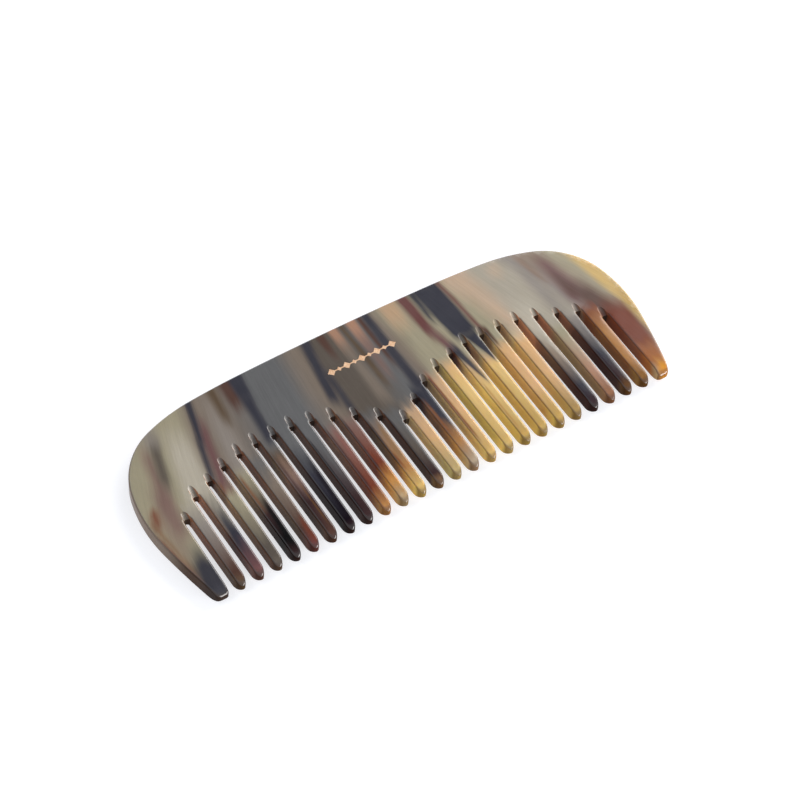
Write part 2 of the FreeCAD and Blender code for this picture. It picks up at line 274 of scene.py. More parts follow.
rings_top, rings_low = [], []
for j, th in enumerate(theta):
    q = P + inward * (ins * (1.0 - math.cos(th)))[:, None]
    frac = (hh - down + down * math.sin(th)) / hh
    z = half_height(q[:, 0], q[:, 1]) * frac
    rings_top.append(np.column_stack([q, MID + z]))
    q = P + inward * (LOW_SHARE * ins * (1.0 - math.cos(th)))[:, None]
    frac = (hh - LOW_SHARE * down * (1.0 - math.sin(th))) / hh
    z = half_height(q[:, 0], q[:, 1]) * frac
    rings_low.append(np.column_stack([q, MID - z]))

last = rings_top[-1][:, :2]
# points inside: down the middle of every tooth, and a loose net on the back
inside = []
for k in range(2, 27 - 1):
    c = CENTRE[k]
    y = TIP[k] + 0.75
    while y < min(floor_y(k - 1), floor_y(k)) + 0.4:
        t = y - TIP[k]
        w = half_width(y) - REACH_IN
        if t > 1.6:
            inside += [(c - w * 0.36, y), (c + w * 0.36, y)]
        else:
            inside.append((c, y))
        y += 0.22 if t < THIN + 0.2 else 0.95
inside = np.array(inside)


def in_poly(pts, poly):
    x, y = pts[:, 0][:, None], pts[:, 1][:, None]
    x0, y0 = poly[:, 0][None], poly[:, 1][None]
    x1, y1 = np.roll(poly[:, 0], -1)[None], np.roll(poly[:, 1], -1)[None]
    cross = ((y0 > y) != (y1 > y)) & (
        x < (x1 - x0) * (y - y0) / np.where(y1 == y0, 1e-12, y1 - y0) + x0)
    return cross.sum(1) % 2 == 1


def far_from(pts, poly, d):
    out = np.ones(len(pts), bool)
    for i in range(0, len(pts), 256):
        q = pts[i:i + 256]
        dd = np.hypot(q[:, 0][:, None] - poly[:, 0][None],
                      q[:, 1][:, None] - poly[:, 1][None]).min(1)
        out[i:i + 256] = dd > d
    return out


net = []
row = 0
y = FOOT + 0.9
while y < RISE:
    x = -WIDE + (0.9 if row % 2 else 0.0)
    while x < WIDE:
        k = x / PITCH + 13.5
        floors = [floor_y(g) for g in range(1, 26) if abs(gap_x(g) - x) < PITCH * 0.62]
        high = max(floors) + 1.9 if floors else -99
        if y > high or abs(x) > PITCH * 12.5:
            net.append((x, y))
        x += 1.8
    y += 1.56 if y > FOOT + 4.0 else 0.5
    row += 1
net = np.array(net)
net = net[in_poly(net, last)]
net = net[far_from(net, last, 0.75)]
extra = np.vstack([inside, net])

verts2d = [Vector(p) for p in np.vstack([last, extra]).tolist()]
edges2d = [(i, (i + 1) % N) for i in range(N)]
res = delaunay_2d_cdt(verts2d, edges2d, [list(range(N))], 1, 1e-7)
cv, _ce, cf, orig = res[0], res[1], res[2], res[3]
if len(cv) != len(verts2d):
    raise RuntimeError("the plan mesh changed its points: %d %d" % (len(cv), len(verts2d)))
back = {}
for new, olds in enumerate(orig):
    for o in olds:
        back[new] = o
faces_in = [[back[i] for i in f] for f in cf]

# ---- assemble -------------------------------------------------------------
coords = []
idx_top, idx_low = [], []
for j in range(BANDS + 1):
    idx_top.append(np.arange(N) + sum(len(c) for c in coords))
    coords.append(rings_top[j])
for j in range(BANDS + 1):
    idx_low.append(np.arange(N) + sum(len(c) for c in coords))
    coords.append(rings_low[j])
eh = half_height(extra[:, 0], extra[:, 1])
base_top = sum(len(c) for c in coords)
coords.append(np.column_stack([extra, MID + eh]))
base_low = sum(len(c) for c in coords)
coords.append(np.column_stack([extra, MID - eh]))
V = np.vstack(coords)
F = []
for i in range(N):
    k = (i + 1) % N
    for j in range(BANDS):
        F.append((idx_top[j][i], idx_top[j][k], idx_top[j + 1][k], idx_top[j + 1][i]))
        F.append((idx_low[j][k], idx_low[j][i], idx_low[j + 1][i], idx_low[j + 1][k]))
    F.append((idx_low[0][i], idx_low[0][k], idx_top[0][k], idx_top[0][i]))
pick_top = lambda v: int(idx_top[BANDS][v]) if v < N else base_top + v - N
pick_low = lambda v: int(idx_low[BANDS][v]) if v < N else base_low + v - N
for f in faces_in:
    a, b, c = (np.array(verts2d[f[i]]) for i in range(3))
    if (b[0] - a[0]) * (c[1] - a[1]) - (b[1] - a[1]) * (c[0] - a[0]) < 0:
        f = f[::-1]
    F.append(tuple(pick_top(v) for v in f))
    F.append(tuple(pick_low(v) for v in f[::-1]))


def make_mesh(name, verts, faces):
    me = bpy.data.meshes.new(name)
    me.from_pydata([tuple(v) for v in verts], [], [tuple(int(i) for i in f) for f in faces])
    me.update()
    me.validate()
    ob = bpy.data.objects.new(name, me)
    bpy.context.scene.collection.objects.link(ob)
    return ob


horn = make_mesh("horn_comb", V * MM, F)


# ---- saw run-outs and the stamped recess, cut from the plate ---------------
def runout_cutters():
    vs, fs = [], []
    seg = 56
    for g in range(1, 26):
        y = floor_y(g)
        r = PITCH / 2.0 - half_width(y)
        root = y + r
        for up in (1, -1):
            deep = DEEP[g - 1] if up > 0 else DEEP[g - 1] * 0.97
            reach = REACH[g - 1] if up > 0 else REACH[(g * 7) % 25]
            a = math.atan2(deep, reach)
            ya = root + reach - r / math.sin(a)
            d = np.array([0.0, math.cos(a), up * math.sin(a)])
            u = np.array([1.0, 0.0, 0.0])
            w = np.cross(d, u)
            o = np.array([gap_x(g), ya, TOP if up > 0 else LOW])
            s0, s1 = -2.0, 1.2 + r / math.tan(a) + reach
            base = len(vs)
            for s in (s0, s1):
                for i in range(seg):
                    t = 2 * math.pi * (i + 0.5) / seg
                    vs.append(o + d * s + r * (u * math.cos(t) + w * math.sin(t)))
            for i in range(seg):
                k = (i + 1) % seg
                fs.append((base + i, base + k, base + seg + k, base + seg + i))
            fs.append(tuple(base + i for i in range(seg))[::-1])
            fs.append(tuple(base + seg + i for i in range(seg)))
    return vs, fs


vs, fs = runout_cutters()
cut = make_mesh("cutter", np.array(vs) * MM, fs)
bm = bmesh.new()
bm.from_mesh(cut.data)
bmesh.ops.recalc_face_normals(bm, faces=bm.faces)
bm.to_mesh(cut.data)
bm.free()
bm = bmesh.new()
bm.from_mesh(horn.data)
bmesh.ops.recalc_face_normals(bm, faces=bm.faces)
bm.to_mesh(horn.data)
bm.free()

for m_name in ("horn_polished", "horn_sawn"):
    bpy.data.materials.new(m_name)
horn.data.materials.append(bpy.data.materials["horn_polished"])
horn.data.materials.append(bpy.data.materials["horn_sawn"])
cut.data.materials.append(bpy.data.materials["horn_polished"])
cut.data.materials.append(bpy.data.materials["horn_sawn"])
for p in cut.data.polygons:
    p.material_index = 1


def subtract(ob, tool):
    mod = ob.modifiers.new("cut", "BOOLEAN")
    mod.operation = "DIFFERENCE"
    mod.solver = "MANIFOLD"
    mod.object = tool
    dg = bpy.context.evaluated_depsgraph_get()
    me = bpy.data.meshes.new_from_object(ob.evaluated_get(dg))
    ob.modifiers.clear()
    old = ob.data
    ob.data = me
    bpy.data.meshes.remove(old)
    data = tool.data
    bpy.data.objects.remove(tool)
    bpy.data.meshes.remove(data)


subtract(horn, cut)

# ---- the stamped ornament: a hairline with nine lozenges strung on it --------
FOIL_X = (foil_lo[0] + foil_hi[0]) / 2.0
FOIL_Y = (foil_lo[1] + foil_hi[1]) / 2.0
LINE_LONG, LINE_WIDE = 18.6, 0.34
LOZ = [1.46, 0.92]
LOZ_STEP = 2.06


def ornament_plan(grow=0.0):
    """Closed outline of the ornament, counter-clockwise from the left end."""
    h = LINE_WIDE / 2.0 + grow
    half = LINE_LONG / 2.0 + grow
    lower, upper = [(-half, -h)], [(-half, h)]
    for i in range(-4, 5):
        d = LOZ[abs(i) % 2] / math.sqrt(2.0) + grow * math.sqrt(2.0)
        c = LOZ_STEP * i
        lower += [(c - (d - h), -h), (c, -d), (c + (d - h), -h)]
        upper += [(c - (d - h), h), (c, d), (c + (d - h), h)]
    lower.append((half, -h))
    upper.append((half, h))
    out = [lower[0]]
    return [(FOIL_X + x, FOIL_Y + y) for x, y in lower + upper[::-1]]


def prism(outline, z0, z1):
    n = len(outline)
    flat = [Vector(p) for p in outline]
    tri = delaunay_2d_cdt(flat, [(i, (i + 1) % n) for i in range(n)],
                          [list(range(n))], 1, 1e-7)
    pts = [tuple(p) for p in tri[0]]
    order = {}
    for new, olds in enumerate(tri[3]):
        for o in olds:
            order[o] = new
    m = len(pts)
    vs = [(x, y, z0) for x, y in pts] + [(x, y, z1) for x, y in pts]
    fs = [tuple(f[::-1]) for f in tri[2]] + [tuple(i + m for i in f) for f in tri[2]]
    for i in range(n):
        a, b = order[i], order[(i + 1) % n]
        fs.append((a, b, b + m, a + m))
    return vs, fs


vs, fs = prism(ornament_plan(), TOP - 0.10, TOP + 0.5)
tool = make_mesh("recess", np.array(vs) * MM, fs)
bm = bmesh.new()
bm.from_mesh(tool.data)
bmesh.ops.recalc_face_normals(bm, faces=bm.faces)
bm.to_mesh(tool.data)
bm.free()
tool.data.materials.append(bpy.data.materials["horn_polished"])
tool.data.materials.append(bpy.data.materials["horn_sawn"])
for q in tool.data.polygons:
    q.material_index = 1
subtract(horn, tool)

# ---- finish of the mesh: smooth, with crisp edges round the saw cuts --------
bm = bmesh.new()
bm.from_mesh(horn.data)
bmesh.ops.remove_doubles(bm, verts=bm.verts, dist=2e-6)
if any(len(e.link_faces) != 2 for e in bm.edges):
    raise RuntimeError("the horn mesh is not closed")
for f in bm.faces:
    f.smooth = True
for e in bm.edges:
    a = {f.material_index for f in e.link_faces}
    e.smooth = len(a) == 1
bm.to_mesh(horn.data)
bm.free()
wn = horn.modifiers.new("weighted", "WEIGHTED_NORMAL")
wn.mode = "FACE_AREA"
wn.weight = 50
wn.keep_sharp = True

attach(horn, "root")
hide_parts("back_plate", "guard_tooth_left", "guard_tooth_right",
            *["tooth_%02d" % k for k in range(2, 26)])

# ---- horn: colours along the grain ------------------------------------------
# Plan coordinates for the pattern: X counts teeth from the left, Y counts the
# same step upwards from the tips.  Z is the depth under the upper face.
GRID_X, GRID_Y = 13.27, -0.02483
LIGHT = 1.22      # how strongly the upper face is lit: tones are given as seen
SHEEN = 0.010     # what the polish adds to every tone


def tone(code, gain=1.0):
    """A tone as it is seen under the studio light, as a surface colour."""
    code = HORN.get(code, code)
    out = []
    for i in (0, 2, 4):
        v = int(code[i:i + 2], 16) / 255.0
        v = v / 12.92 if v <= 0.04045 else ((v + 0.055) / 1.055) ** 2.4
        out.append(max(v - SHEEN, 0.0012) / LIGHT * gain)
    return (out[0], out[1], out[2], 1.0)


def new_nodes(mat):
    mat.use_nodes = True
    nt = mat.node_tree
    nt.nodes.clear()
    return nt


def math_node(nt, op, a, b=None, c=None, clamp=False):
    n = nt.nodes.new("ShaderNodeMath")
    n.operation = op
    n.use_clamp = clamp
    for i, v in enumerate((a, b, c)):
        if v is None:
            continue
        if isinstance(v, (int, float)):
            n.inputs[i].default_value = v
        else:
            nt.links.new(v, n.inputs[i])
    return n.outputs[0]


def mix_node(nt, fac, a, b, blend="MIX"):
    n = nt.nodes.new("ShaderNodeMix")
    n.data_type = "RGBA"
    n.blend_type = blend
    n.clamp_factor = True
    for sock, v in ((n.inputs[0], fac), (n.inputs[6], a), (n.inputs[7], b)):
        if isinstance(v, (int, float)):
            sock.default_value = v
        elif isinstance(v, tuple):
            sock.default_value = v
        else:
            nt.links.new(v, sock)
    return n.outputs[2]


def range_node(nt, v, lo, hi, a=0.0, b=1.0, smooth=True):
    n = nt.nodes.new("ShaderNodeMapRange")
    n.interpolation_type = "SMOOTHSTEP" if smooth else "LINEAR"
    n.clamp = True
    for i, x in enumerate((v, lo, hi, a, b)):
        if isinstance(x, (int, float)):
            n.inputs[i].default_value = x
        else:
            nt.links.new(x, n.inputs[i])
    return n.outputs[0]


def combine(nt, x, y, z=0.0):
    n = nt.nodes.new("ShaderNodeCombineXYZ")
    for i, v in enumerate((x, y, z)):
        if isinstance(v, (int, float)):
            n.inputs[i].default_value = v
        else:
            nt.links.new(v, n.inputs[i])
    return n.outputs[0]


def noise(nt, vec, scale, detail=2.0, rough=0.5, dims="3D"):
    n = nt.nodes.new("ShaderNodeTexNoise")
    n.noise_dimensions = dims
    n.inputs["Scale"].default_value = scale
    n.inputs["Detail"].default_value = detail
    n.inputs["Roughness"].default_value = rough
    nt.links.new(vec, n.inputs["Vector"])
    return n.outputs[0]


def socket(tree, name, kind, way, value=None):
    s = tree.interface.new_socket(name=name, in_out=way, socket_type=kind)
    if value is not None:
        s.default_value = value
    return s


def streak_group():
    """One soft streak that runs along the grain from a top to a bottom point."""
    g = bpy.data.node_groups.new("horn_streak", "ShaderNodeTree")
    socket(g, "Under", "NodeSocketColor", "INPUT")
    socket(g, "Tint", "NodeSocketColor", "INPUT")
    for nm in ("X", "Y", "XTop", "YTop", "XLow", "YLow", "WTop", "WLow",
               "Soft", "EndTop", "EndLow", "Amount"):
        socket(g, nm, "NodeSocketFloat", "INPUT")
    socket(g, "Color", "NodeSocketColor", "OUTPUT")
    i = g.nodes.new("NodeGroupInput")
    o = g.nodes.new("NodeGroupOutput")
    s = i.outputs
    m = lambda *a, **k: math_node(g, *a, **k)
    span = m("SUBTRACT", s["YTop"], s["YLow"])
    t = m("DIVIDE", m("SUBTRACT", s["Y"], s["YLow"]), span, clamp=True)
    # centre and half width at this height
    cxx = m("MULTIPLY_ADD", m("SUBTRACT", s["XTop"], s["XLow"]), t, s["XLow"])
    w = m("MULTIPLY_ADD", m("SUBTRACT", s["WTop"], s["WLow"]), t, s["WLow"])
    d = m("ABSOLUTE", m("SUBTRACT", s["X"], cxx))
    across = range_node(g, m("SUBTRACT", d, w), m("MULTIPLY", s["Soft"], -1.0),
                        s["Soft"], 1.0, 0.0)
    top = range_node(g, m("SUBTRACT", s["Y"], s["YTop"]),
                     m("MULTIPLY", s["EndTop"], -1.0), s["EndTop"], 1.0, 0.0)
    low = range_node(g, m("SUBTRACT", s["YLow"], s["Y"]),
                     m("MULTIPLY", s["EndLow"], -1.0), s["EndLow"], 1.0, 0.0)
    fac = m("MULTIPLY", m("MULTIPLY", across, s["Amount"]), m("MULTIPLY", top, low))
    g.links.new(mix_node(g, fac, s["Under"], s["Tint"]), o.inputs["Color"])
    return g


STREAK = streak_group()

# Horn tones.  They were matched to the photo and rounded.
HORN = {
    "ash_1": "908880", "ash_2": "a8a090", "coal_1": "302020", "coal_2": "403030",
    "cream": "b0a070", "dusk_3": "605850", "honey_2": "a09058", "honey_3": "b09060",
    "honey_5": "c0a060", "honey_6": "d0b070", "honey_7": "d8b080", "honey_8": "e0c080",
    "ink_1": "101010", "ink_2": "201820", "ochre_1": "705030", "ochre_2": "906040",
    "ochre_3": "907050", "olive": "988050", "rose": "906058", "rust_1": "784030",
    "rust_2": "705050", "rust_4": "805840", "rust_5": "a06030", "rust_6": "887060",
    "sand_1": "908070", "sand_3": "a09880", "sand_5": "c0a890", "sand_6": "b8b0a0",
    "sand_7": "d0b898", "slate": "3c3c44", "smoke_3": "686868", "tan_1": "b08050",
    "tan_2": "d09038", "tan_3": "b08870", "tan_4": "c89050", "tan_6": "c0a080",
    "taupe_2": "806860", "taupe_4": "807468", "umber_2": "584038", "umber_3": "605040",
    "wine_2": "684040",
}

# Broad tone of the plate along the comb, at mid height of the back.
GROUND = [
    (0.0, "sand_3"), (3.5, "sand_3"), (4.2, "taupe_4"), (5.6, "taupe_4"),
    (7.6, "smoke_3"), (9.4, "smoke_3"), (10.6, "taupe_4"), (11.6, "dusk_3"),
    (12.6, "dusk_3"), (14.2, "smoke_3"), (15.2, "taupe_4"), (16.0, "sand_3"),
    (19.4, "sand_3"), (20.3, "sand_5"), (21.5, "ash_2"), (22.6, "ash_2"),
    (23.3, "ash_1"), (24.2, "sand_1"), (25.2, "sand_3"), (26.6, "honey_6"),
]

# name, X and Y of the upper end, X and Y of the lower end, half width above
# and below, softness across, softness of the two ends, tone, amount
STREAKS = [
    # left end
    ("beige_body", 3.1, 8.6, 2.3, 4.4, 0.55, 0.75, 0.4, 1.2, 0.6, "sand_6", 0.9),
    ("smoke_left", 1.45, 8.8, 0.80, 5.2, 0.22, 0.30, 0.34, 0.8, 0.8, "taupe_2", 0.90),
    ("smoke_core", 2.05, 9.2, 1.32, 6.2, 0.27, 0.26, 0.28, 0.7, 0.8, "dusk_3", 0.95),
    ("smoke_high", 2.1, 9.9, 1.9, 8.6, 0.40, 0.35, 0.45, 0.5, 0.5, "ash_1", 0.75),
    ("smoke_foot", 0.90, 6.4, 0.55, 3.4, 0.46, 0.46, 0.40, 0.8, 0.9, "taupe_2", 0.92),
    ("rust_patch", 0.1, 5.6, -0.15, 4.5, 0.18, 0.25, 0.28, 0.35, 0.5, "rust_1", 0.85),
    ("rust_rim", -0.3, 4.9, 0.25, 1.2, 0.12, 0.10, 0.22, 0.6, 0.6, "rust_4", 0.7),
    ("left_foot", 0.80, 2.5, 0.42, -0.6, 0.50, 0.85, 0.42, 0.9, 0.4, "slate", 0.97),
    # dark line and taupe
    ("haze", 5.1, 10.8, 4.45, 7.6, 0.24, 0.20, 0.30, 0.4, 0.9, "taupe_4", 0.75),
    ("line_side", 4.55, 8.8, 3.62, 4.7, 0.25, 0.20, 0.24, 0.9, 0.5, "rust_2", 0.90),
    ("line_high", 4.80, 10.9, 3.98, 7.6, 0.23, 0.15, 0.16, 0.3, 0.5, "slate", 0.95),
    ("line_low", 3.98, 7.9, 3.42, 5.6, 0.14, 0.11, 0.15, 0.5, 0.5, "slate", 0.92),
    ("taupe", 5.4, 9.2, 4.9, 4.6, 0.35, 0.50, 0.40, 2.2, 0.8, "ash_1", 0.9),
    ("brown_a", 6.00, 10.9, 5.72, 8.1, 0.28, 0.18, 0.24, 0.3, 0.6, "umber_3", 0.95),
    ("brown_b", 6.78, 10.9, 6.62, 8.6, 0.42, 0.30, 0.24, 0.3, 0.7, "umber_2", 0.95),
    ("ink_high", 7.36, 10.9, 7.20, 8.8, 0.46, 0.30, 0.18, 0.3, 0.7, "slate", 0.97),
    ("ink_low", 7.20, 9.3, 6.92, 6.1, 0.27, 0.22, 0.20, 0.8, 0.5, "slate", 0.95),
    ("pale_grey", 10.5, 10.9, 10.2, 7.0, 0.35, 0.30, 0.45, 0.4, 1.0, "taupe_4", 0.5),
    # centre
    ("ink_mid", 11.45, 10.9, 10.78, 6.6, 0.27, 0.24, 0.20, 0.3, 0.6, "slate", 0.95),
    ("ink_strand", 11.35, 8.4, 11.25, 5.6, 0.15, 0.18, 0.18, 0.8, 0.6, "slate", 0.85),
    ("brown_m", 12.2, 10.9, 12.2, 8.9, 0.24, 0.16, 0.16, 0.3, 0.8, "umber_2", 0.92),
    ("tan_a", 12.95, 10.9, 12.95, 9.1, 0.29, 0.22, 0.15, 0.3, 0.8, "tan_3", 0.95),
    ("tan_a_low", 13.0, 9.6, 13.0, 5.4, 0.22, 0.30, 0.26, 0.8, 0.7, "taupe_4", 0.85),
    ("dusk_a", 13.45, 10.9, 13.55, 6.2, 0.10, 0.16, 0.13, 0.3, 0.8, "umber_3", 0.9),
    ("tan_b", 13.96, 10.9, 13.98, 8.9, 0.27, 0.20, 0.15, 0.3, 1.1, "tan_3", 0.95),
    ("tan_b_low", 13.98, 9.4, 13.95, 6.6, 0.18, 0.20, 0.22, 0.9, 0.9, "taupe_2", 0.8),
    ("brown_c", 14.46, 10.9, 14.50, 7.2, 0.13, 0.14, 0.13, 0.3, 0.9, "umber_2", 0.95),
    ("ink_c", 14.82, 10.9, 14.84, 5.2, 0.22, 0.27, 0.17, 0.3, 0.5, "slate", 0.95),
    ("rose_a", 16.1, 10.9, 16.1, 8.9, 0.45, 0.45, 0.25, 0.3, 1.0, "tan_6", 0.85),
    ("rose_b", 16.2, 7.6, 16.3, 5.2, 0.40, 0.50, 0.3, 0.9, 0.5, "sand_3", 0.8),
    # red-brown tongue and the navy wedge
    ("rust_c", 16.93, 10.9, 17.12, 7.5, 0.34, 0.24, 0.17, 0.3, 0.7, "wine_2", 0.95),
    ("rust_d", 17.22, 7.9, 17.55, 6.0, 0.24, 0.20, 0.22, 0.8, 0.5, "rust_2", 0.95),
    ("rust_e", 17.55, 6.6, 17.93, 4.0, 0.20, 0.05, 0.11, 0.5, 0.4, "slate", 0.97),
    ("navy_side", 17.55, 10.9, 17.6, 8.3, 0.24, 0.12, 0.18, 0.3, 0.6, "slate", 0.95),
    ("navy", 18.28, 10.9, 18.58, 6.7, 0.70, 0.62, 0.17, 0.3, 0.45, "slate", 1.0),
    ("navy_tongue", 18.70, 7.0, 18.97, 4.75, 0.36, 0.04, 0.11, 0.5, 0.3, "slate", 1.0),
    ("navy_rim", 19.06, 10.9, 19.42, 6.5, 0.13, 0.12, 0.14, 0.3, 0.6, "wine_2", 0.85),
    # pale right part
    ("sand", 20.0, 10.9, 20.0, 9.0, 0.65, 0.55, 0.35, 0.3, 1.2, "sand_5", 0.85),
    ("mist", 21.6, 10.9, 21.8, 6.0, 0.40, 0.55, 0.40, 0.4, 1.0, "ash_2", 0.75),
    ("cream_foot", 21.9, 7.2, 22.0, 5.0, 0.60, 0.60, 0.45, 0.9, 0.7, "sand_6", 0.75),
    ("blush", 22.0, 9.95, 22.0, 9.1, 0.35, 0.35, 0.30, 0.35, 0.5, "sand_5", 0.6),
    ("ash", 23.2, 8.8, 23.55, 5.4, 0.32, 0.30, 0.35, 0.9, 0.7, "ash_1", 0.9),
    ("peach", 23.45, 9.9, 23.85, 7.6, 0.18, 0.15, 0.24, 0.5, 0.7, "rust_6", 0.80),
    # wine-red end and amber rim
    ("wine_a", 24.40, 9.2, 24.85, 5.6, 0.30, 0.50, 0.42, 0.9, 0.7, "rust_2", 0.92),
    ("wine_core", 24.48, 7.9, 24.78, 6.0, 0.16, 0.26, 0.32, 0.8, 0.7, "umber_2", 0.90),
    ("wine_b", 25.15, 6.6, 25.85, 3.0, 0.42, 0.66, 0.34, 0.9, 0.9, "umber_2", 0.95),
    ("wine_c", 25.98, 4.8, 26.05, 1.5, 0.62, 0.50, 0.28, 0.9, 0.7, "rust_1", 0.95),
    ("ochre", 25.9, 1.9, 25.8, 0.6, 0.50, 0.60, 0.30, 0.6, 0.4, "rust_5", 0.9),
    ("flame", 26.0, 0.8, 25.9, -0.6, 0.25, 0.50, 0.28, 0.5, 0.4, "tan_2", 0.95),
    ("amber_rim", 26.15, 8.7, 26.82, 4.6, 0.38, 0.27, 0.24, 0.8, 1.2, "honey_6", 0.95),
    ("amber_low", 26.92, 5.6, 26.72, 2.6, 0.30, 0.06, 0.24, 0.9, 0.8, "honey_5", 0.95),
]

# the teeth: gradients down each tooth, from (Y, tone) to (Y, tone); above the
# first height a tooth takes the tone of the back
TEETH = {
    2: [(5.0, "ash_2"), (3.6, "ash_1"), (0.8, "umber_2"), (0.0, "umber_3")],
    3: [(5.2, "ash_2"), (2.6, "slate"), (0.5, "rust_2"), (0.0, "umber_2")],
    4: [(4.9, "rust_6"), (4.3, "sand_3"), (1.3, "dusk_3"), (0.0, "dusk_3")],
    5: [(5.4, "sand_3"), (2.8, "coal_2"), (1.2, "ink_1"), (0.0, "coal_2")],
    6: [(5.6, "smoke_3"), (4.0, "taupe_4"), (1.3, "umber_2"), (0.0, "wine_2")],
    7: [(5.6, "umber_3"), (3.9, "taupe_2"), (2.4, "coal_2"), (0.0, "umber_2")],
    8: [(5.6, "smoke_3"), (3.5, "slate"), (0.7, "ink_2"), (0.0, "coal_2")],
    9: [(5.7, "smoke_3"), (1.3, "coal_2"), (0.4, "coal_2"), (0.0, "coal_2")],
    10: [(5.4, "taupe_2"), (1.6, "rust_1"), (0.4, "tan_1"), (0.0, "ochre_3")],
    11: [(5.5, "taupe_2"), (2.6, "rust_1"), (1.4, "tan_4"), (0.0, "sand_3")],
    12: [(5.2, "smoke_3"), (1.8, "tan_1"), (0.6, "honey_6"), (0.0, "honey_2")],
    13: [(4.8, "smoke_3"), (2.4, "dusk_3"), (0.8, "coal_2"), (0.0, "ochre_3")],
    14: [(4.7, "sand_1"), (4.2, "tan_6"), (2.5, "honey_7"), (0.0, "cream")],
    15: [(5.4, "slate"), (3.3, "slate"), (1.7, "tan_1"), (0.0, "ash_2")],
    16: [(5.5, "tan_6"), (3.2, "honey_7"), (0.3, "honey_6"), (0.0, "cream")],
    17: [(5.8, "honey_7"), (4.0, "honey_8"), (0.7, "honey_6"), (0.0, "cream")],
    18: [(5.4, "tan_6"), (3.6, "honey_8"), (0.5, "honey_5"), (0.0, "honey_2")],
    19: [(5.2, "honey_7"), (4.6, "honey_8"), (0.5, "honey_5"), (0.0, "honey_2")],
    20: [(5.6, "honey_7"), (2.6, "honey_7"), (0.5, "honey_5"), (0.0, "olive")],
    21: [(5.8, "sand_7"), (5.0, "honey_7"), (2.8, "honey_7"), (0.0, "olive")],
    22: [(5.5, "sand_6"), (3.6, "sand_1"), (1.4, "slate"), (0.0, "coal_2")],
    23: [(5.4, "ash_2"), (4.6, "sand_3"), (1.8, "tan_3"), (0.0, "rust_4")],
    24: [(5.3, "ash_1"), (2.6, "slate"), (0.9, "coal_2"), (0.0, "ochre_1")],
    25: [(5.3, "rust_1"), (3.4, "tan_1"), (1.6, "tan_1"), (0.0, "ochre_1")],
}

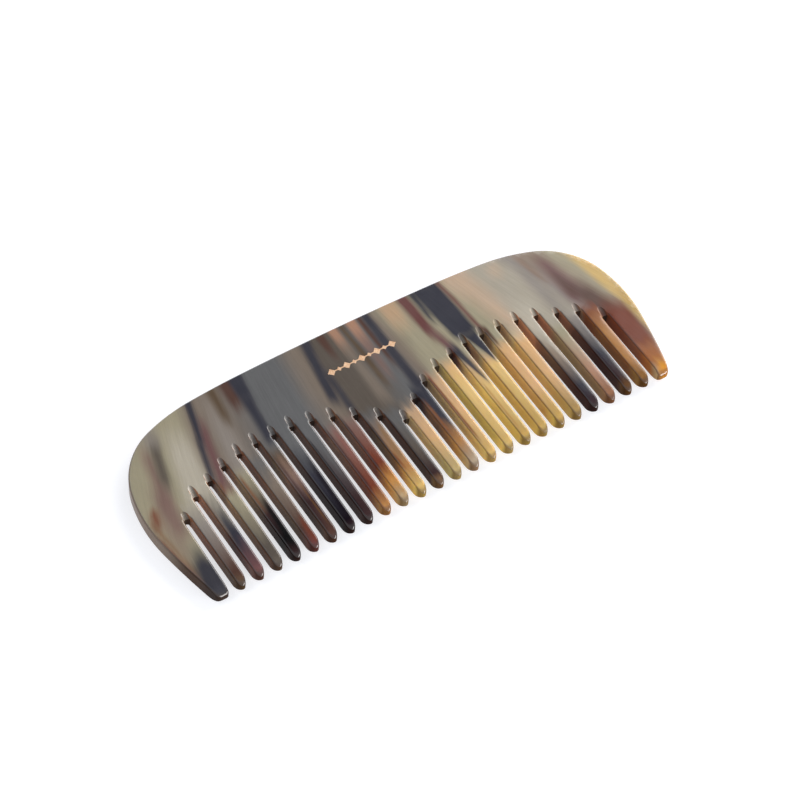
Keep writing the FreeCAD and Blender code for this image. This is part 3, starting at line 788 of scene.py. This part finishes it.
# streaks on the teeth, given like those of the back
FINE_STREAKS = [
    ("foot_tan", 0.25, 4.6, 0.3, 2.4, 0.22, 0.18, 0.25, 0.6, 0.5, "sand_1", 0.7),
    ("edge_rust", -0.42, 4.2, 0.12, 0.9, 0.06, 0.07, 0.14, 0.5, 0.3, "rust_1", 0.85),
    ("t2_patch", 1.9, 1.3, 1.9, 0.5, 0.10, 0.12, 0.12, 0.25, 0.25, "umber_2", 0.7),
    ("t3_core", 2.74, 3.9, 2.66, 1.7, 0.09, 0.12, 0.12, 0.6, 0.5, "slate", 0.75),
    ("t3_left", 2.50, 5.0, 2.52, 2.6, 0.06, 0.06, 0.09, 0.5, 0.6, "rust_6", 0.7),
    ("t4_left", 3.55, 5.5, 3.5, 4.7, 0.10, 0.08, 0.10, 0.3, 0.3, "rust_4", 0.8),
    ("t4_green", 3.9, 4.5, 3.85, 3.6, 0.10, 0.10, 0.12, 0.4, 0.4, "sand_3", 0.7),
    ("t5_left", 4.58, 5.1, 4.62, 3.2, 0.09, 0.06, 0.10, 0.5, 0.7, "rust_4", 0.85),
    ("t5_core", 4.86, 3.4, 4.84, 0.7, 0.10, 0.16, 0.12, 0.6, 0.3, "ink_1", 0.9),
    ("t6_pale", 5.9, 5.0, 5.9, 3.4, 0.10, 0.10, 0.12, 0.6, 0.8, "taupe_4", 0.6),
    ("t6_rust", 5.85, 1.7, 5.85, 0.4, 0.10, 0.14, 0.12, 0.5, 0.3, "rust_1", 0.7),
    ("t7_rose", 6.8, 5.2, 6.8, 3.7, 0.08, 0.08, 0.10, 0.5, 0.5, "rust_6", 0.7),
    ("t7_line", 6.84, 3.6, 6.84, 1.0, 0.03, 0.03, 0.05, 0.6, 0.6, "ochre_1", 0.7),
    ("t7_left", 6.6, 5.0, 6.62, 1.0, 0.05, 0.05, 0.06, 0.8, 0.6, "coal_2", 0.6),
    ("t8_core", 7.9, 4.2, 7.86, 0.9, 0.12, 0.10, 0.12, 0.8, 0.4, "ink_2", 0.8),
    ("t9_line", 8.53, 5.4, 8.57, 0.8, 0.04, 0.04, 0.05, 0.5, 0.5, "ink_2", 0.85),
    ("t9_pale", 8.85, 5.4, 8.85, 3.0, 0.08, 0.05, 0.10, 0.6, 1.0, "smoke_3", 0.6),
    ("t10_line", 9.55, 5.6, 9.60, 1.6, 0.05, 0.05, 0.06, 0.5, 0.5, "coal_2", 0.8),
    ("t10_rose", 9.85, 5.4, 9.86, 3.4, 0.08, 0.08, 0.10, 0.6, 0.6, "rose", 0.7),
    ("t11_line", 10.52, 5.6, 10.58, 2.2, 0.05, 0.05, 0.06, 0.5, 0.5, "coal_2", 0.8),
    ("t11_mid", 10.72, 3.4, 10.74, 1.9, 0.07, 0.05, 0.08, 0.4, 0.4, "rust_1", 0.75),
    ("t12_line", 11.50, 4.9, 11.52, 1.9, 0.07, 0.05, 0.07, 0.6, 0.5, "coal_1", 0.85),
    ("t12_tan", 11.86, 4.4, 11.82, 2.3, 0.07, 0.14, 0.09, 0.5, 0.4, "ochre_3", 0.85),
    ("t12_brown", 11.62, 2.6, 11.64, 1.7, 0.05, 0.04, 0.07, 0.4, 0.4, "rust_1", 0.8),
    ("t13_line", 12.50, 4.4, 12.53, 1.0, 0.05, 0.05, 0.06, 0.5, 0.4, "coal_1", 0.8),
    ("t13_edge", 12.95, 4.2, 12.95, 1.2, 0.05, 0.05, 0.08, 0.5, 0.4, "smoke_3", 0.6),
    ("t15_left", 14.53, 4.3, 14.62, 2.3, 0.09, 0.10, 0.09, 0.5, 0.4, "ochre_2", 0.85),
    ("t15_ink", 14.92, 5.7, 14.98, 2.6, 0.14, 0.07, 0.10, 0.4, 0.4, "slate", 0.9),
    ("t16_rust", 15.52, 5.7, 15.62, 1.3, 0.07, 0.05, 0.08, 0.4, 0.6, "rust_1", 0.9),
    ("t16_edge", 15.95, 5.6, 16.0, 1.0, 0.06, 0.06, 0.08, 0.5, 0.5, "honey_7", 0.7),
    ("t17_line", 16.46, 5.9, 16.5, 1.0, 0.04, 0.04, 0.05, 0.4, 0.5, "honey_2", 0.7),
    ("t17_glow", 16.75, 5.2, 16.75, 2.8, 0.07, 0.07, 0.12, 0.6, 0.8, "honey_8", 0.7),
    ("t18_line", 17.62, 3.8, 17.66, 1.0, 0.05, 0.05, 0.06, 0.4, 0.5, "tan_1", 0.6),
    ("t19_line", 18.48, 5.6, 18.55, 1.0, 0.04, 0.04, 0.05, 0.4, 0.5, "tan_1", 0.6),
    ("t20_tongue", 19.52, 6.9, 19.62, 5.5, 0.15, 0.05, 0.09, 0.3, 0.3, "umber_2", 0.9),
    ("t20_line", 19.47, 5.4, 19.52, 1.0, 0.04, 0.04, 0.05, 0.4, 0.5, "tan_1", 0.6),
    ("t20_peach", 19.8, 2.0, 19.8, 0.6, 0.10, 0.10, 0.12, 0.5, 0.3, "honey_5", 0.6),
    ("t21_line", 20.48, 5.6, 20.52, 1.0, 0.04, 0.04, 0.05, 0.4, 0.5, "honey_3", 0.6),
    ("t21_rose", 20.98, 4.4, 20.98, 3.0, 0.05, 0.05, 0.08, 0.4, 0.4, "tan_6", 0.6),
    ("t22_line", 21.48, 4.8, 21.55, 1.0, 0.05, 0.06, 0.06, 0.5, 0.4, "coal_2", 0.8),
    ("t22_pale", 21.9, 5.4, 21.95, 3.3, 0.12, 0.06, 0.10, 0.4, 0.8, "sand_6", 0.7),
    ("t23_left", 22.5, 5.3, 22.53, 1.0, 0.05, 0.05, 0.07, 0.4, 0.4, "ochre_3", 0.7),
    ("t24_line", 23.5, 4.8, 23.53, 1.0, 0.05, 0.06, 0.06, 0.4, 0.4, "coal_2", 0.8),
    ("t25_line", 24.47, 5.0, 24.5, 1.0, 0.03, 0.03, 0.05, 0.4, 0.4, "rust_1", 0.8),
    ("t25_pale", 25.0, 4.2, 25.0, 1.4, 0.06, 0.06, 0.08, 0.5, 0.5, "tan_3", 0.6),
    ("t26_left", 25.45, 4.4, 25.5, 1.4, 0.06, 0.06, 0.10, 0.4, 0.5, "rust_1", 0.7),
]


def horn_tone_group():
    """Colour of the horn at a point of the plate, and how clear it is."""
    g = bpy.data.node_groups.new("horn_tone", "ShaderNodeTree")
    socket(g, "Color", "NodeSocketColor", "OUTPUT")
    socket(g, "Clear", "NodeSocketFloat", "OUTPUT")
    socket(g, "Fibre", "NodeSocketFloat", "OUTPUT")
    o = g.nodes.new("NodeGroupOutput")
    tc = g.nodes.new("ShaderNodeTexCoord")
    sep = g.nodes.new("ShaderNodeSeparateXYZ")
    g.links.new(tc.outputs["Object"], sep.inputs[0])
    m = lambda *a, **k: math_node(g, *a, **k)
    step = PITCH * MM
    depth = m("MULTIPLY", m("SUBTRACT", TOP * MM, sep.outputs[2]), 1.0 / step)
    x0 = m("MULTIPLY_ADD", sep.outputs[0], 1.0 / step, GRID_X)
    y0 = m("MULTIPLY", m("SUBTRACT", sep.outputs[1], GRID_Y), 1.0 / step)
    # grain lines open out a little towards the tips
    drop = m("SUBTRACT", 9.0, y0)
    fan = m("ADD", m("MULTIPLY_ADD", drop, 0.012, 1.0),
            m("MULTIPLY", m("MINIMUM", drop, 5.0), 0.022))
    u = m("DIVIDE", m("SUBTRACT", x0, 12.0), fan)
    # slow waves, fibres, and ragged ends of the streaks
    slow = noise(g, combine(g, m("MULTIPLY", u, 1.1), m("MULTIPLY", y0, 0.30),
                            depth), 1.0, 2.0, 0.5)
    fibre = noise(g, combine(g, m("MULTIPLY", u, 7.0), m("MULTIPLY", y0, 0.30),
                             m("MULTIPLY", depth, 2.0)), 1.0, 4.0, 0.6)
    rag = noise(g, combine(g, m("MULTIPLY", u, 5.0), m("MULTIPLY", y0, 0.12),
                           m("ADD", depth, 7.3)), 1.0, 3.0, 0.6)
    x = m("ADD", x0, m("MULTIPLY_ADD", m("SUBTRACT", slow, 0.5), 0.20,
                       m("MULTIPLY", m("SUBTRACT", fibre, 0.5), 0.12)))
    x = m("MULTIPLY_ADD", depth, 0.10, x)
    y = m("MULTIPLY_ADD", m("SUBTRACT", rag, 0.5), 0.9, y0)
    y = m("MULTIPLY_ADD", depth, 0.25, y)
    xt = m("MULTIPLY_ADD", m("SUBTRACT", fibre, 0.5), 0.06, x0)
    # ground tone, read on the fan of grain lines
    ramp = g.nodes.new("ShaderNodeValToRGB")
    ug = m("DIVIDE", m("SUBTRACT", x, 12.0), fan)
    g.links.new(m("MULTIPLY", m("ADD", ug, 12.0), 1.0 / 27.0), ramp.inputs[0])
    cr = ramp.color_ramp
    cr.interpolation = "LINEAR"
    while len(cr.elements) < len(GROUND):
        cr.elements.new(0.5)
    for e, (px, code) in zip(cr.elements, GROUND):
        e.position = px / 27.0
    for e, (px, code) in zip(cr.elements, GROUND):
        e.color = tone(code)
    col = ramp.outputs[0]

    def add(name, xt, yt, xl, yl, wt, wl, soft, et, el, code, amount, xs, ys):
        nonlocal col
        n = g.nodes.new("ShaderNodeGroup")
        n.node_tree = STREAK
        n.label = name
        n.inputs["Tint"].default_value = tone(code)
        for key, v in (("XTop", xt), ("YTop", yt), ("XLow", xl), ("YLow", yl),
                       ("WTop", wt), ("WLow", wl), ("Soft", soft),
                       ("EndTop", et), ("EndLow", el), ("Amount", amount)):
            n.inputs[key].default_value = v
        g.links.new(col, n.inputs["Under"])
        g.links.new(xs, n.inputs["X"])
        g.links.new(ys, n.inputs["Y"])
        col = n.outputs[0]

    def gate(v):
        """The same value, but known only once the colour so far is known."""
        part = g.nodes.new("ShaderNodeSeparateColor")
        g.links.new(col, part.inputs[0])
        return m("MULTIPLY_ADD", part.outputs[0], 1e-7, v)

    for i, s in enumerate(STREAKS):
        if i % 8 == 7:
            x, y = gate(x), gate(y)
        if s[0] not in TONGUES:
            add(*s, xs=x, ys=y)
    for n, k in enumerate(sorted(TEETH)):
        stops = TEETH[k][::-1]
        c = CENTRE[k] / PITCH + GRID_X
        if n % 5 == 4:
            x0, y = gate(x0), gate(y)
        r = g.nodes.new("ShaderNodeValToRGB")
        r.label = "tooth_%02d" % k
        g.links.new(m("MULTIPLY", m("ADD", y, 0.5), 1.0 / 7.0), r.inputs[0])
        cr = r.color_ramp
        cr.interpolation = "LINEAR"
        while len(cr.elements) < len(stops):
            cr.elements.new(0.5)
        for e, (py, code) in zip(cr.elements, stops):
            e.position = (py + 0.5) / 7.0
        for e, (py, code) in zip(cr.elements, stops):
            e.color = tone(code)
        top = TEETH[k][0][0]
        fac = m("MULTIPLY", m("LESS_THAN", m("ABSOLUTE", m("SUBTRACT", x0, c)), 0.45),
                range_node(g, y, top - 0.55, top + 0.55, 1.0, 0.0))
        col = mix_node(g, fac, col, r.outputs[0])
    for i, s in enumerate(FINE_STREAKS):
        if i % 8 == 7:
            xt, y = gate(xt), gate(y)
        add(*s, xs=xt, ys=y)
    x, y = gate(x), gate(y)
    for s in STREAKS:
        if s[0] in TONGUES:
            add(*s, xs=x, ys=y)
    # fine fibres through everything
    fine = noise(g, combine(g, m("MULTIPLY", u, 26.0), m("MULTIPLY", y0, 1.1),
                            m("MULTIPLY", depth, 4.0)), 1.0, 3.0, 0.6)
    gain = m("MULTIPLY_ADD", m("SUBTRACT", fine, 0.5), 0.22,
             m("MULTIPLY_ADD", m("SUBTRACT", fibre, 0.5), 0.30, 1.0))
    gray = combine(g, gain, gain, gain)
    col = mix_node(g, 1.0, col, gray, "MULTIPLY")
    g.links.new(col, o.inputs["Color"])
    rgb = g.nodes.new("ShaderNodeSeparateColor")
    g.links.new(col, rgb.inputs[0])
    clear = range_node(g, m("SUBTRACT", rgb.outputs[0], rgb.outputs[2]), 0.06, 0.42)
    g.links.new(clear, o.inputs["Clear"])
    g.links.new(fibre, o.inputs["Fibre"])
    return g


TONGUES = ("rust_e", "navy_tongue")
TONE = horn_tone_group()


# colour gains for the walls: painted light standing for light passed through grey and clear horn
WALL_GREY_LIGHT_GAIN = (1.15, 0.60, 0.40, 1.0)
WALL_CLEAR_LIGHT_GAIN = (1.24, 1.32, 1.05, 1.0)


def horn_material(mat, sawn):
    nt = new_nodes(mat)
    out = nt.nodes.new("ShaderNodeOutputMaterial")
    b = nt.nodes.new("ShaderNodeBsdfPrincipled")
    t = nt.nodes.new("ShaderNodeGroup")
    t.node_tree = TONE
    tc = nt.nodes.new("ShaderNodeTexCoord")
    m = lambda *a, **k: math_node(nt, *a, **k)
    obj = tc.outputs["Object"]
    # painted light: the colour of the walls is multiplied by a gain that stands for light passed through
    # the horn; grey horn stays dark there (painted shade), clear horn glows (painted glow)
    geo = nt.nodes.new("ShaderNodeNewGeometry")
    sep = nt.nodes.new("ShaderNodeSeparateXYZ")
    nt.links.new(geo.outputs["Normal"], sep.inputs[0])
    nx, ny = sep.outputs[0], sep.outputs[1]
    nz = m("ABSOLUTE", sep.outputs[2])
    wall = range_node(nt, nz, 0.50, 0.88, 1.0, 0.0)
    rgb = nt.nodes.new("ShaderNodeSeparateColor")
    nt.links.new(t.outputs["Color"], rgb.inputs[0])
    sat = m("DIVIDE", m("SUBTRACT", rgb.outputs[0], rgb.outputs[2]),
            m("MAXIMUM", rgb.outputs[0], 0.01))
    wall_light_gain = mix_node(nt, range_node(nt, sat, 0.28, 0.62), WALL_GREY_LIGHT_GAIN, WALL_CLEAR_LIGHT_GAIN)
    painted_wall_light = mix_node(nt, 1.0, t.outputs["Color"], wall_light_gain, "MULTIPLY")
    horn_col = mix_node(nt, wall, t.outputs["Color"], painted_wall_light)
    # painted shade: the rounded upper edge on the left and over the tips is darkened in the colour to a
    # dark line
    bevel = m("MULTIPLY", range_node(nt, nz, 0.30, 0.55), range_node(nt, nz, 0.80, 0.97, 1.0, 0.0))
    turned = m("MAXIMUM", range_node(nt, nx, -0.15, -0.40), range_node(nt, ny, -0.30, -0.55))
    line = m("MULTIPLY", m("MULTIPLY", bevel, turned), 0.62)
    horn_col = mix_node(nt, line, horn_col, mix_node(nt, 1.0, t.outputs["Color"],
                                                     (0.22, 0.15, 0.10, 1.0), "MULTIPLY"))
    # the round ends of the saw cuts lie in their own shade
    pos = nt.nodes.new("ShaderNodeSeparateXYZ")
    nt.links.new(obj, pos.inputs[0])
    root = m("MULTIPLY", m("MULTIPLY", wall, range_node(nt, ny, -0.25, -0.60)),
             range_node(nt, pos.outputs[1], -0.011, -0.009))
    horn_col = mix_node(nt, m("MULTIPLY", root, 0.85), horn_col, (0.018, 0.014, 0.012, 1.0))
    # painted shade: the blunt fronts of the tips are darkened in the colour
    front = m("MULTIPLY", range_node(nt, ny, -0.05, -0.35),
              range_node(nt, pos.outputs[1], -0.0205, -0.0228))
    horn_col = mix_node(nt, m("MULTIPLY", m("MULTIPLY", front, wall), 0.82), horn_col,
                        mix_node(nt, 1.0, t.outputs["Color"], (0.28, 0.21, 0.16, 1.0),
                                 "MULTIPLY"))
    # painted shade: the outer wall of the left end is darkened too, darkest towards the tips
    outer = m("MULTIPLY", range_node(nt, nz, 0.60, 0.92, 1.0, 0.0),
              range_node(nt, pos.outputs[0], -0.0565, -0.0590))
    rim = mix_node(nt, range_node(nt, pos.outputs[1], -0.016, -0.006),
                   (0.026, 0.016, 0.012, 1.0), (0.16, 0.125, 0.105, 1.0))
    horn_col = mix_node(nt, m("MULTIPLY", outer, 0.85), horn_col, rim)
    if not sawn:
        nt.links.new(horn_col, b.inputs["Base Color"])
        wear = noise(nt, obj, 160.0, 3.0, 0.6)
        rough = range_node(nt, wear, 0.3, 0.7, 0.13, 0.21, smooth=False)
        nt.links.new(rough, b.inputs["Roughness"])
        dull = m("MULTIPLY", wall, m("SUBTRACT", 1.0, m("MULTIPLY", front, range_node(nt, nz, 0.40, 0.55))))
        nt.links.new(range_node(nt, dull, 0.0, 1.0, 0.50, 0.015, smooth=False),
                     b.inputs["Specular IOR Level"])
        sss = m("MULTIPLY", t.outputs["Clear"], 0.5)
        nt.links.new(sss, b.inputs["Subsurface Weight"])
        b.inputs["Subsurface Radius"].default_value = (1.0, 0.66, 0.30)
        b.inputs["Subsurface Scale"].default_value = 0.0016
        # barely visible waviness of the hand polish
        bump = nt.nodes.new("ShaderNodeBump")
        bump.inputs["Strength"].default_value = 0.10
        bump.inputs["Distance"].default_value = 0.0004
        nt.links.new(noise(nt, obj, 90.0, 2.0, 0.5), bump.inputs["Height"])
        nt.links.new(bump.outputs[0], b.inputs["Normal"])
    else:
        dust = noise(nt, obj, 900.0, 3.0, 0.6)
        face = m("SUBTRACT", 1.0, wall)
        across = m("SUBTRACT", m("FRACT", m("MULTIPLY_ADD", pos.outputs[0], 1.0 / (PITCH * MM),
                                            0.5 + 100.0)), 0.5)
        # painted highlight: a bright band along the left side of each cut
        side = m("MULTIPLY", range_node(nt, across, -0.20, -0.14),
                 range_node(nt, across, -0.13, -0.05, 1.0, 0.0))
        # painted shade: a darker band down the middle of each cut
        shade = m("MULTIPLY", range_node(nt, across, -0.04, 0.03),
                  range_node(nt, across, 0.08, 0.15, 1.0, 0.0))
        # the ramp faces, more so towards the left; they carry the frosting of the sawn horn, the painted
        # shade and the painted highlight
        left = range_node(nt, pos.outputs[0], 0.040, -0.010, 0.40, 1.0)
        frost_and_light = m("MULTIPLY", face, left)
        pale = mix_node(nt, m("MULTIPLY", frost_and_light, range_node(nt, dust, 0.3, 0.7, 0.02, 0.32)),
                        horn_col, tone("b4b0ab"))
        pale = mix_node(nt, m("MULTIPLY", m("MULTIPLY", frost_and_light, shade), 0.40), pale,
                        tone("4a4644"))
        pale = mix_node(nt, m("MULTIPLY", m("MULTIPLY", frost_and_light, side), 0.80), pale,
                        tone("ece9e4"))
        nt.links.new(pale, b.inputs["Base Color"])
        nt.links.new(range_node(nt, dust, 0.3, 0.7, 0.42, 0.62, smooth=False),
                     b.inputs["Roughness"])
        b.inputs["Specular IOR Level"].default_value = 0.25
        # marks of the saw along the ramp
        bump = nt.nodes.new("ShaderNodeBump")
        bump.inputs["Strength"].default_value = 0.5
        bump.inputs["Distance"].default_value = 0.0001
        sc = nt.nodes.new("ShaderNodeVectorMath")
        sc.operation = "MULTIPLY"
        sc.inputs[1].default_value = (6000.0, 500.0, 1500.0)
        nt.links.new(obj, sc.inputs[0])
        nt.links.new(noise(nt, sc.outputs[0], 1.0, 2.0, 0.6), bump.inputs["Height"])
        nt.links.new(bump.outputs[0], b.inputs["Normal"])
    nt.links.new(b.outputs[0], out.inputs[0])


horn_material(bpy.data.materials["horn_polished"], False)
horn_material(bpy.data.materials["horn_sawn"], True)

# ---- foil of the ornament ---------------------------------------------------
nt = new_nodes(bpy.data.materials["foil"])
out = nt.nodes.new("ShaderNodeOutputMaterial")
b = nt.nodes.new("ShaderNodeBsdfPrincipled")
tc = nt.nodes.new("ShaderNodeTexCoord")
grain = noise(nt, tc.outputs["Object"], 2600.0, 3.0, 0.6)
nt.links.new(mix_node(nt, range_node(nt, grain, 0.30, 0.70), tone("e3b188"),
                      tone("f8d3ae")), b.inputs["Base Color"])
nt.links.new(range_node(nt, grain, 0.3, 0.7, 0.38, 0.55), b.inputs["Roughness"])
b.inputs["Metallic"].default_value = 0.35
bump = nt.nodes.new("ShaderNodeBump")
bump.inputs["Strength"].default_value = 0.25
bump.inputs["Distance"].default_value = 0.00004
nt.links.new(grain, bump.inputs["Height"])
nt.links.new(bump.outputs[0], b.inputs["Normal"])
nt.links.new(b.outputs[0], out.inputs[0])

# ---- floor, light, camera ---------------------------------------------------
scene = bpy.context.scene
bm = bmesh.new()
bmesh.ops.create_grid(bm, x_segments=8, y_segments=8, size=1.6)
me = bpy.data.meshes.new("floor")
bm.to_mesh(me)
bm.free()
floor = bpy.data.objects.new("floor", me)
scene.collection.objects.link(floor)
floor.location = (0, 0, CAD_LO.z)
mat = bpy.data.materials.new("floor_white")
nt = new_nodes(mat)
out = nt.nodes.new("ShaderNodeOutputMaterial")
b = nt.nodes.new("ShaderNodeBsdfPrincipled")
b.inputs["Base Color"].default_value = (0.47, 0.473, 0.482, 1)
b.inputs["Roughness"].default_value = 0.75
b.inputs["Emission Color"].default_value = (0.97, 0.98, 1.0, 1)
b.inputs["Emission Strength"].default_value = 0.62
nt.links.new(b.outputs[0], out.inputs[0])
floor.data.materials.append(mat)

# the studio round it: white, with a darker wall behind the comb
world = bpy.data.worlds.new("studio")
scene.world = world
world.use_nodes = True
nt = world.node_tree
bg = nt.nodes["Background"]
tc = nt.nodes.new("ShaderNodeTexCoord")
dot = nt.nodes.new("ShaderNodeVectorMath")
dot.operation = "DOT_PRODUCT"
dot.inputs[1].default_value = Vector((0.38, 0.10, 0.92)).normalized()[:]
nt.links.new(tc.outputs["Generated"], dot.inputs[0])
dark = range_node(nt, dot.outputs["Value"], 0.70, 0.92)
sky = mix_node(nt, dark, (0.94, 0.96, 1.02, 1.0), (0.10, 0.105, 0.12, 1.0))
nt.links.new(sky, bg.inputs[0])
bg.inputs[1].default_value = 1.0


def area(name, loc, target, size, power, colour=(1, 1, 1)):
    li = bpy.data.lights.new(name, "AREA")
    li.shape = "RECTANGLE"
    li.size, li.size_y = size
    li.energy = power
    li.color = colour
    ob = bpy.data.objects.new(name, li)
    scene.collection.objects.link(ob)
    ob.location = loc
    d = Vector(target) - Vector(loc)
    ob.rotation_euler = d.to_track_quat("-Z", "Y").to_euler()
    return ob


area("softbox_right", (0.85, 0.32, 0.50), (0, 0, 0), (1.0, 0.8), 10.0,
     (1.0, 0.985, 0.96))
area("strip_front", (0.38, -0.93, 0.17), (0, 0, 0.002), (1.0, 0.30), 13.0,
     (1.0, 0.99, 0.97))

cam_data = bpy.data.cameras.new("camera")
cam = bpy.data.objects.new("camera", cam_data)
scene.collection.objects.link(cam)
scene.camera = cam
cam_data.sensor_fit = "HORIZONTAL"
cam_data.sensor_width = 36.0
cam_data.lens = 118.13
cam_data.clip_start, cam_data.clip_end = 0.01, 20.0
R = Matrix(((0.8396057969, 0.4077132690, -0.3589317428),
            (-0.5392594748, 0.7050349425, -0.4605702422),
            (0.0652788214, 0.5802547888, 0.8118146681)))
cam.matrix_world = Matrix.Translation((-0.21509, -0.27827, 0.49369)) @ R.to_4x4()

scene.view_settings.view_transform = "Standard"
scene.view_settings.look = "None"
